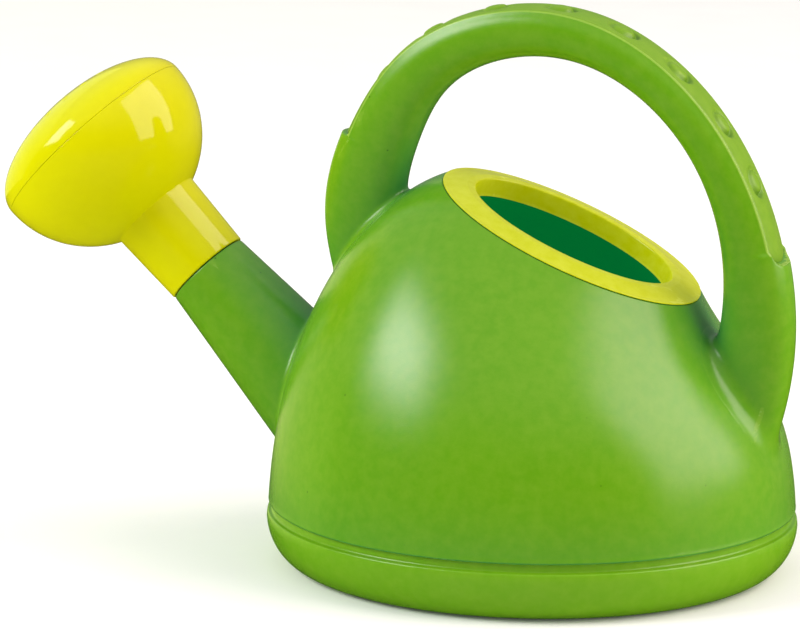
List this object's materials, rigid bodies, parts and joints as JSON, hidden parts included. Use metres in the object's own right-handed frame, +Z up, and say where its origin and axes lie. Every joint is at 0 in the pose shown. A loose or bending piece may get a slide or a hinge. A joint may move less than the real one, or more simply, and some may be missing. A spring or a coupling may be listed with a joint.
{
  "type": "children's watering can",
  "caption": "Small plastic watering can with a flat foot, an arched handle over a tilted filling mouth and a push-on sprinkling rose.",
  "frame": {"origin": "centre of the flat underside of the foot, on the surface it stands on", "axes": "+Z up; the spout and rose point along -X, the handle's rear foot is on +X; Y = 0 is the plane of symmetry"},
  "size_m": [0.2722, 0.1604, 0.1853],
  "materials": {
    "can_green": "satin moulded",
    "grip_green": "satin moulded",
    "trim_yellow": "gloss moulded",
    "seal_black": "matt"
  },
  "bodies": {
    "can": {"tank_shell": "can_green", "foot_pan": "can_green", "spout": "can_green", "handle_arch": "can_green", "grip_strip": "grip_green", "fill_ring": "trim_yellow"},
    "neck_seal": {"rose_seal": "seal_black"},
    "rose": {"rose_bowl": "trim_yellow", "rose_face": "trim_yellow"}
  },
  "joints": [
    {"name": "rose_pull", "type": "slide", "parent": "can", "child": "neck_seal", "axis": [-0.7083, 0, 0.7059], "range_m": [0, 0.03]},
    {"name": "rose_twist", "type": "hinge", "parent": "neck_seal", "child": "rose", "pos_m": [-0.155, 0, 0.1292], "axis": [-0.7083, 0, 0.7059], "continuous": true}
  ]
}
